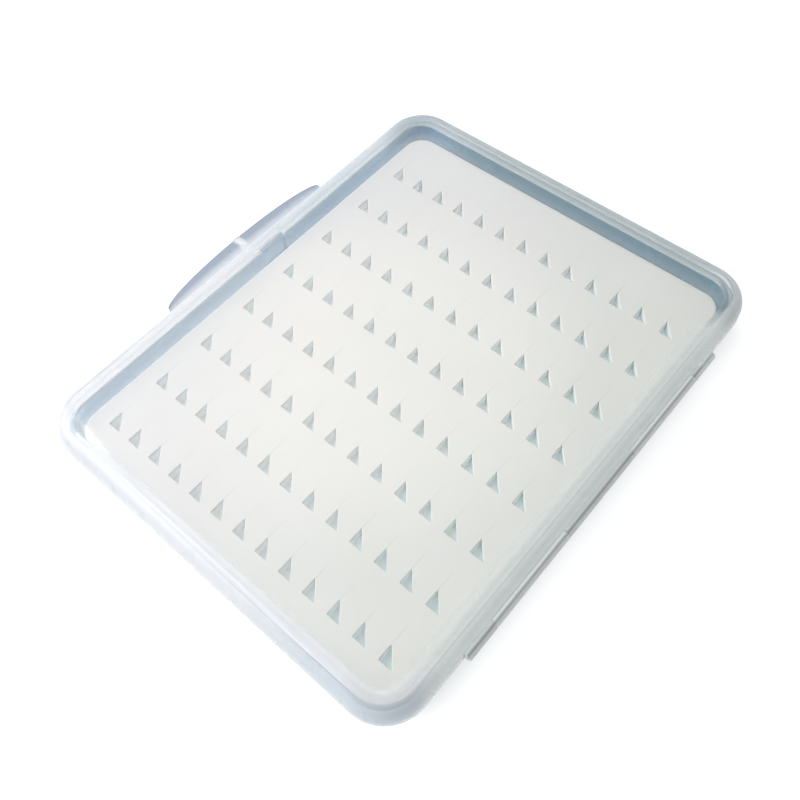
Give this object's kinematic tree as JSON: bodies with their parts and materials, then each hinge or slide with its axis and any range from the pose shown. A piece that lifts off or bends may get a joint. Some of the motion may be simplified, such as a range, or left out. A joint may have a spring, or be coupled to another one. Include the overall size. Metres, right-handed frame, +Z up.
{
  "type": "fly box",
  "caption": "Slim clear fishing fly box: shallow tray with a white slotted pad under a hinged transparent lid with a thumb tab.",
  "frame": {"origin": "centre of the tray's flat underside", "axes": "+X from the thumb tab towards the hinge, +Y along the long side, +Z up through the lid"},
  "size_m": [0.1102, 0.13, 0.0148],
  "materials": {
    "clear_plastic_tray": "clear with a faint blue tint, glossy",
    "clear_plastic_lid": "clear with a faint blue tint, glossy",
    "white_silicone": "matt white silicone",
    "adhesive_sheet": "matt double-sided adhesive film",
    "pin_steel": "plain stainless wire"
  },
  "bodies": {
    "tray": {"base_tray": "clear_plastic_tray", "pad_tape": "adhesive_sheet", "fly_pad": "white_silicone", "hinge_pin": "pin_steel"},
    "lid": {"lid": "clear_plastic_lid"}
  },
  "joints": [
    {"name": "lid_hinge", "type": "hinge", "parent": "tray", "child": "lid", "pos_m": [0.0522, 0, 0.01075], "axis": [0, 1, 0], "range_deg": [0, 180]}
  ]
}
